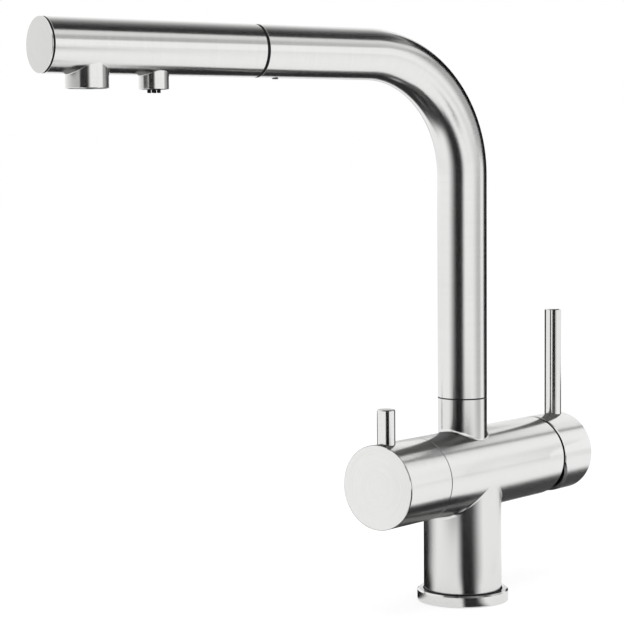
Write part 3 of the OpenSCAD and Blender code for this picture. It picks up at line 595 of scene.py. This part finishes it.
def make_joints():
    """Fillets at the posts, and black rings in the seams, partly dark joints and partly painted shade.
    """
    crossbar = (CROSSBAR_MIDDLE, ALONG_X, ALONG_Y, CROSSBAR_R)
    head = (SPOUT_MIDDLE, SPOUT_AXIS, SPOUT_SIDE, COLLAR_R)
    for name, bar, post_u, post_r, ball_r, side, node, rider in (
            ("collar_fillet", crossbar, 0.0, COLLAR_R, COLLAR_FILLET_R, ABOVE,
             "mixer_body", "body"),
            ("foot_fillet", crossbar, 0.0, FOOT_R, FOOT_FILLET_R, BELOW,
             "mixer_body", "body"),
            ("main_outlet_fillet", head, MAIN_OUTLET_U, MAIN_OUTLET_R, MAIN_OUTLET_FILLET_R, BELOW,
             "outlet_collar", "head"),
            ("filter_outlet_fillet", head, FILTER_OUTLET_U, FILTER_OUTLET_R, FILTER_OUTLET_FILLET_R,
             BELOW, "filter_outlet", "head")):
        saddle_fillet(name, bar, post_u, post_r, ball_r, side, NODE_FINISHES[node], rider)

    along_bar = (CROSSBAR_MIDDLE, ALONG_X, UP)
    up_post = (POST, UP, ALONG_X)
    along_spout = (SPOUT_MIDDLE, SPOUT_AXIS, UP)
    shade_seam_ring("knob_seam", *along_bar,
              wedge(KNOB_SEAM_X, KNOB_SEAM, KNOB_SEAM_DEPTH, CROSSBAR_R), "body")
    shade_seam_ring("knob_end_line", *along_bar, knob_end_outline(), "knob")
    shade_seam_ring("swivel_seam", *up_post,
              wedge(SWIVEL_SEAM_Z, SWIVEL_SEAM, SWIVEL_SEAM_DEPTH, COLLAR_R), "spout")
    # Black lip as painted shade where the foot meets the flange
    shade_seam_ring("foot_shade_lip", *up_post, foot_shade_lip_outline(), "body")
    shade_seam_ring("dock_seam", *along_spout,
              wedge(DOCK_SEAM_U, DOCK_SEAM, DOCK_SEAM_DEPTH, COLLAR_R), "spout")
    shade_seam_ring("end_groove_ring", *along_spout, end_groove_outline(), "head")


# Studio

FAR = 20.0
EVERYWHERE = (0.0, FAR)
CARD_GLOW = 0.005
SLAT_SLOPE = math.radians(15.0)
SLAT_OVERLAP = 2.4
# Glossy depth above which a ray has been mirrored twice, and the brightness that is left to it
TWICE_MIRRORED = 1.5
CORNER_LEVEL = 0.13
FLOOR_HALF = 9.0
FLOOR_Z = -0.0002
FLOOR_GREY = (0.36, 0.36, 0.36, 1.0)
FLOOR_GLOW = 0.6
FLOOR_GLOW_SEEN = 0.135
ROOM_WHITE = (1.0, 1.0, 1.0, 1.0)
ROOM_LIGHT = 0.75
ROOM_LIGHT_SEEN = 0.25
LAMP_SIZE = 1.4
LAMP_POWER = 14.0
LAMP_PLACE = Vector((-0.35, -0.35, 2.0))


def bare_material(name):
    """A material with an empty node tree."""
    material = bpy.data.materials.new(name)
    material.use_nodes = True
    material.node_tree.nodes.clear()
    return material, material.node_tree


def dark_card():
    """Black card of painted density, which shows only on its front and within its reach."""
    material, tree = bare_material("dark_card")

    def painted(name):
        return add_node(tree, "ShaderNodeAttribute", {"attribute_name": name}).outputs["Fac"]

    length = add_node(tree, "ShaderNodeLightPath").outputs["Ray Length"]
    in_reach = maths(tree, "MULTIPLY", maths(tree, "GREATER_THAN", length, painted("nearest")),
                     maths(tree, "LESS_THAN", length, painted("farthest")))
    behind = add_node(tree, "ShaderNodeNewGeometry").outputs["Backfacing"]
    shows = maths(tree, "MULTIPLY", in_reach, maths(tree, "SUBTRACT", 1.0, behind))
    black = add_node(tree, "ShaderNodeEmission", None, {"Strength": CARD_GLOW})
    clear = add_node(tree, "ShaderNodeBsdfTransparent")
    either = add_node(tree, "ShaderNodeMixShader")
    output = add_node(tree, "ShaderNodeOutputMaterial")
    feed(tree, either.inputs, (maths(tree, "MULTIPLY", painted("darkness"), shows),
                               clear.outputs["BSDF"], black.outputs["Emission"]))
    tree.links.new(either.outputs["Shader"], output.inputs["Surface"])
    return material


DARK_CARD = dark_card()


def studio_card(name, reach, across, along, place, density, slat_rise=0.0, overlap=1.0):
    """Card of strips that is only mirrored; place and density take u and v from 0 to 1."""
    points, faces = [], []
    paint = {"darkness": [], "nearest": [], "farthest": []}
    for strip in range(across):
        for edge, rise in ((0.0, slat_rise), (overlap, 0.0)):
            for step in range(along + 1):
                u, v = (strip + edge) / across, step / along
                points.append(tuple(place(u, v) + UP * rise))
                paint["darkness"].append(density(u, v))
                paint["nearest"].append(reach[0])
                paint["farthest"].append(reach[1])
        for step in range(along):
            first = 2 * strip * (along + 1) + step
            faces.append((first, first + 1, first + along + 2, first + along + 1))
    mesh = bpy.data.meshes.new(name)
    mesh.from_pydata(points, [], faces)
    for attribute, values in paint.items():
        mesh.attributes.new(attribute, "FLOAT", "POINT").data.foreach_set("value", values)
    mesh.materials.append(DARK_CARD)
    card = add_object(name, mesh)
    card.visible_camera = False
    card.visible_diffuse = False
    card.visible_transmission = False
    card.visible_shadow = False


def ease(low, high, value):
    """0 below low, 1 above high, smooth between."""
    t = min(max((value - low) / (high - low), 0.0), 1.0)
    return t * t * (3.0 - 2.0 * t)


def within(value, start, core_start, core_end, end):
    """1 between the core's edges, 0 outside start and end, smooth between."""
    return ease(start, core_start, value) * (1.0 - ease(core_end, end, value))


def blend(first, second, amount):
    """Value between two values."""
    return first + (second - first) * amount


def compass(angle, radius, height):
    """Point at an angle in degrees, a radius and a height."""
    turn = math.radians(angle)
    return Vector((radius * math.cos(turn), radius * math.sin(turn), height))


def wall_card(name, reach, edges, radius, low, high, fade, amount=1.0, middle=POST):
    """Upright curved card that faces its middle; edges are angles, as in within, and its top fades."""
    def place(u, v):
        return middle + compass(blend(edges[0], edges[3], u), radius, blend(low, high, v))

    def density(u, v):
        return (amount * within(blend(edges[0], edges[3], u), *edges)
                * (1.0 - ease(1.0 - fade, 1.0, v)))

    studio_card(name, reach, across=60, along=16, place=place, density=density)


def floor_card(name, reach, edges, inner, outer, fade, height, far_edges=None):
    """Flat card in a sector round the column; its edges may move to far ones, and its outside fades."""
    turn_start, turn_end = 0.03, 0.12

    def edges_at(v):
        part = ease(turn_start, turn_end, blend(inner, outer, v))
        return [blend(near, far, part) for near, far in zip(edges, far_edges or edges)]

    def place(u, v):
        start, _, _, end = edges_at(v)
        return compass(blend(start, end, u), blend(inner, outer, v), height)

    def density(u, v):
        here = edges_at(v)
        return within(blend(here[0], here[3], u), *here) * (1.0 - ease(1.0 - fade, 1.0, v))

    studio_card(name, reach, across=60, along=40, place=place, density=density)


def shelf_card(name, reach, height, along, side, u_edges, v_edges, amount=1.0, slats=False):
    """Oblong card that faces the way of side x along, flat or in slats that only steep rays see."""
    strips = 60
    overlap = SLAT_OVERLAP if slats else 1.0
    strip_width = (u_edges[3] - u_edges[0]) / strips
    rise = strip_width * overlap * math.tan(SLAT_SLOPE) if slats else 0.0

    def place(u, v):
        return (UP * height + along * blend(u_edges[0], u_edges[3], u)
                + side * blend(v_edges[0], v_edges[3], v))

    def density(u, v):
        lengthwise = within(blend(u_edges[0], u_edges[3], u), *u_edges)
        return amount * lengthwise * within(blend(v_edges[0], v_edges[3], v), *v_edges)

    studio_card(name, reach, across=strips, along=40, place=place, density=density,
                slat_rise=rise, overlap=overlap)


def ceiling_card():
    """Card over the spout with a sharp front edge, lighter towards the back."""
    height, front, back = 1.3, 0.55, -2.2
    from_end, to_end = -1.1, 0.5
    darkest, dark_until, light_from, falloff = 0.985, 62.0, 158.0, 1.9

    def place(u, v):
        return (SPOUT_AXIS * blend(from_end, to_end, v) + SPOUT_SIDE * blend(front, back, u)
                + UP * height)

    def density(u, v):
        angle = math.degrees(math.atan2(height - SPOUT_Z, blend(front, back, u)))
        return darkest * (1.0 - ease(dark_until, light_from, angle) ** falloff)

    studio_card("ceiling_card", EVERYWHERE, across=80, along=4, place=place, density=density)


def high_wall():
    """Slightly grey wall above the light, with a darker line along its foot that climbs to the right."""
    radius, top = 2.0, 3.2
    left_foot, right_foot = 0.96, 1.35
    left_angle, right_angle = -100.0, 10.0
    left_grey, right_grey, line_grey, band_grey = 0.25, 0.12, 0.35, 0.36
    line_rises = (0.0, 0.04, 0.08, 0.14)
    band_rises = (0.02, 0.12, 0.5, 1.0)
    wall_rise, band_end = 0.1, (0.2, 0.5)
    sides = (0.0, 0.12, 0.9, 1.0)

    def foot(u):
        return blend(left_foot, right_foot, u)

    def place(u, v):
        return compass(blend(left_angle, right_angle, u), radius, blend(foot(u), top, v ** 2))

    def density(u, v):
        rise = (top - foot(u)) * v ** 2
        wall = blend(left_grey, right_grey, u) * ease(0.0, wall_rise, rise)
        line = blend(line_grey, 0.0, u) * within(rise, *line_rises)
        band = band_grey * (1.0 - ease(*band_end, u)) * within(rise, *band_rises)
        return within(u, *sides) * (wall + line + band)

    studio_card("high_wall", EVERYWHERE, across=60, along=60, place=place, density=density)


def lever_cards(name, x, radius, spare, edges, rear_edges, rear_top):
    """Card in front of a lever and a nearer one behind it."""
    lever = ALONG_X * x
    wall_card(name + "_lever_card", reach=(radius - 0.012, radius + spare), middle=lever,
              edges=edges, radius=radius, low=0.0, high=0.25, fade=0.3)
    wall_card(name + "_lever_back_card", reach=(0.15, 0.158), middle=lever,
              edges=rear_edges, radius=0.155, low=0.04, high=rear_top, fade=0.1)


def make_cards():
    """Dark cards that the steel mirrors, each within reach of the pieces that need it."""
    column_edges = (145.0, 192.0, 211.0, 232.0)
    wall_card("column_card", reach=(0.44, 0.56), edges=column_edges,
              radius=0.5, low=0.0, high=0.6, fade=0.3)
    floor_card("column_floor_card", reach=(0.3, 0.62), edges=column_edges,
               inner=0.25, outer=0.5, fade=0.02, height=0.0014)
    wall_card("right_card", reach=(1.14, FAR), edges=(-33.0, -19.0, 24.0, 34.0),
              radius=1.2, low=0.0, high=0.42, fade=0.3)
    floor_card("right_floor_card", reach=(0.5, 1.3), edges=(-27.0, -18.0, 24.0, 34.0),
               inner=0.5, outer=1.2, fade=0.02, height=0.0014)
    wall_card("right_grey_card", reach=(0.184, 0.203), edges=(-100.0, -66.0, -58.0, -47.0),
              radius=0.2, low=0.06, high=0.27, fade=0.1, amount=0.42)
    wall_card("bend_right_card", reach=(0.1, 0.3), edges=(-76.0, -50.0, -24.0, -18.0),
              radius=0.2, low=0.26, high=0.45, fade=0.1, amount=0.55)
    wall_card("bend_edge_card", reach=(0.1, 0.33), edges=(-27.0, -18.0, 20.0, 30.0),
              radius=0.21, low=0.26, high=0.54, fade=0.1)

    foot_edges = (196.0, 219.0, 238.0, 280.0)
    floor_card("foot_card", reach=(0.0, 0.3), edges=(212.0, 220.0, 238.0, 258.0),
               far_edges=foot_edges, inner=0.0262, outer=0.28, fade=0.02, height=0.0006)
    wall_card("foot_wall_card", reach=(0.0, 0.3), edges=foot_edges,
              radius=0.28, low=0.0, high=0.07, fade=0.3)
    floor_card("back_card", reach=EVERYWHERE, edges=(30.0, 48.0, 125.0, 148.0),
               far_edges=(30.0, 48.0, 90.0, 142.0), inner=0.0262, outer=0.44, fade=0.3,
               height=0.0008)

    bend_edges = (100.0, 116.0, 205.0, 222.0)
    floor_card("bend_card", reach=(0.285, 0.328), edges=bend_edges,
               inner=0.027, outer=0.16, fade=0.02, height=0.001)
    floor_card("bend_far_card", reach=(0.285, FAR), edges=bend_edges,
               inner=0.16, outer=0.33, fade=0.53, height=0.001)
    shelf_card("spout_card", reach=(0.33, FAR), height=0.0012, along=SPOUT_AXIS, side=-SPOUT_SIDE,
               u_edges=(-0.4, -0.35, -0.07, -0.04), v_edges=(0.008, 0.03, 0.3, 0.45))
    shelf_card("head_card", reach=(0.33, FAR), height=0.0012, along=SPOUT_AXIS, side=-SPOUT_SIDE,
               u_edges=(-0.07, -0.04, 0.1, 0.16), v_edges=(0.03, 0.06, 0.3, 0.45))
    shelf_card("crossbar_card", reach=(0.05, 0.27), height=0.0018, along=ALONG_X, side=-ALONG_Y,
               u_edges=(0.05, 0.07, 0.31, 0.34), v_edges=(-0.16, -0.12, 0.042, 0.07),
               amount=0.92, slats=True)
    shelf_card("knob_card", reach=(0.065, 0.14), height=0.0016, along=ALONG_X, side=-ALONG_Y,
               u_edges=(-0.03, -0.015, 0.062, 0.075), v_edges=(-0.01, 0.004, 0.055, 0.08),
               slats=True)
    shelf_card("overhead_line", reach=EVERYWHERE, height=1.3, along=ALONG_X, side=ALONG_Y,
               u_edges=(0.8, 1.2, 2.8, 3.2), v_edges=(-0.62, -0.52, -0.42, -0.34), amount=0.85)

    outlets = SPOUT_AXIS * 0.22
    wall_card("outlet_card", reach=(0.25, 0.335), edges=(184.0, 190.0, 224.0, 242.0),
              middle=outlets, radius=0.3, low=0.18, high=0.45, fade=0.1)
    wall_card("outlet_grey_card", reach=(0.25, 0.335), edges=(60.0, 180.0, 186.0, 194.0),
              middle=outlets, radius=0.3, low=0.18, high=0.45, fade=0.1, amount=0.5)
    wall_card("outlet_right_card", reach=(0.4, 0.485), edges=(-53.0, -43.0, 8.0, 20.0),
              middle=outlets, radius=0.45, low=0.13, high=0.45, fade=0.1, amount=0.6)
    knob = ALONG_X * -0.06
    wall_card("knob_back_card", reach=(0.565, 0.625), edges=(10.0, 24.0, 48.0, 62.0),
              middle=knob, radius=0.6, low=0.12, high=0.5, fade=0.1, amount=0.4)
    lever_cards("mixer", MIXER_LEVER_X, radius=0.58, spare=0.04, rear_top=0.2,
                edges=(200.0, 209.0, 243.0, 254.0), rear_edges=(38.0, 46.0, 98.0, 106.0))
    lever_cards("filter", FILTER_LEVER_X, radius=0.42, spare=0.0045, rear_top=0.1,
                edges=(204.0, 222.0, 250.0, 260.0), rear_edges=(38.0, 46.0, 80.0, 87.0))
    ceiling_card()
    high_wall()


def corner_dimming(tree, rays):
    """1, and less for what is mirrored twice, as in the corners between the pieces."""
    twice = maths(tree, "GREATER_THAN", rays["Glossy Depth"], TWICE_MIRRORED)
    return maths(tree, "MULTIPLY_ADD", twice, CORNER_LEVEL - 1.0, 1.0)


def make_floor():
    """Pale floor with the tap's soft shadow."""
    corners = ((-1, -1), (1, -1), (1, 1), (-1, 1))
    mesh = bpy.data.meshes.new("floor")
    mesh.from_pydata([(x * FLOOR_HALF, y * FLOOR_HALF, FLOOR_Z) for x, y in corners],
                     [], [(0, 1, 2, 3)])
    floor = add_object("floor", mesh)
    material, tree = bare_material("pale_floor")
    matt = add_node(tree, "ShaderNodeBsdfDiffuse", None, {"Color": FLOOR_GREY})
    glow = add_node(tree, "ShaderNodeEmission")
    rays = add_node(tree, "ShaderNodeLightPath").outputs
    level = maths(tree, "MULTIPLY_ADD", rays["Is Camera Ray"], FLOOR_GLOW_SEEN, FLOOR_GLOW)
    tree.links.new(maths(tree, "MULTIPLY", level, corner_dimming(tree, rays)),
                   glow.inputs["Strength"])
    both = add_node(tree, "ShaderNodeAddShader")
    output = add_node(tree, "ShaderNodeOutputMaterial")
    feed(tree, both.inputs, (matt.outputs["BSDF"], glow.outputs["Emission"]))
    tree.links.new(both.outputs["Shader"], output.inputs["Surface"])
    mesh.materials.append(material)


def make_light():
    """White room and one soft lamp."""
    world = bpy.data.worlds.new("white_room")
    scene.world = world
    world.use_nodes = True
    tree = world.node_tree
    background = tree.nodes["Background"]
    background.inputs["Color"].default_value = ROOM_WHITE
    rays = add_node(tree, "ShaderNodeLightPath").outputs
    mirrored = maths(tree, "MAXIMUM", rays["Is Glossy Ray"], rays["Is Transmission Ray"])
    seen = maths(tree, "MAXIMUM", rays["Is Camera Ray"], mirrored)
    level = maths(tree, "MULTIPLY_ADD", seen, ROOM_LIGHT_SEEN, ROOM_LIGHT)
    tree.links.new(maths(tree, "MULTIPLY", level, corner_dimming(tree, rays)),
                   background.inputs["Strength"])

    lamp = bpy.data.lights.new("soft_lamp", "AREA")
    lamp.size = LAMP_SIZE
    lamp.energy = LAMP_POWER
    soft_lamp = add_object("soft_lamp", lamp)
    soft_lamp.location = LAMP_PLACE
    soft_lamp.rotation_euler = (-LAMP_PLACE).to_track_quat("-Z", "Y").to_euler()
    soft_lamp.visible_glossy = False


# Camera

def make_camera():
    """Camera at the photograph's place."""
    lens = bpy.data.cameras.new("camera")
    lens.lens = 116.36936
    lens.sensor_width = 36.0
    place = Vector((-0.9380345, -0.6589173, 0.2520875))
    right = Vector((0.63365507, -0.77357839, -0.00759799))
    up = Vector((0.06313791, 0.04192402, 0.99712385))
    back = Vector((-0.77103493, -0.63231230, 0.07540749))
    camera = add_object("camera", lens)
    turn = Matrix((right, up, back)).transposed().to_4x4()
    camera.matrix_world = Matrix.Translation(place) @ turn
    scene.camera = camera


scene.view_settings.view_transform = "Standard"
dress_nodes()
make_joints()
make_floor()
make_light()
make_cards()
make_camera()
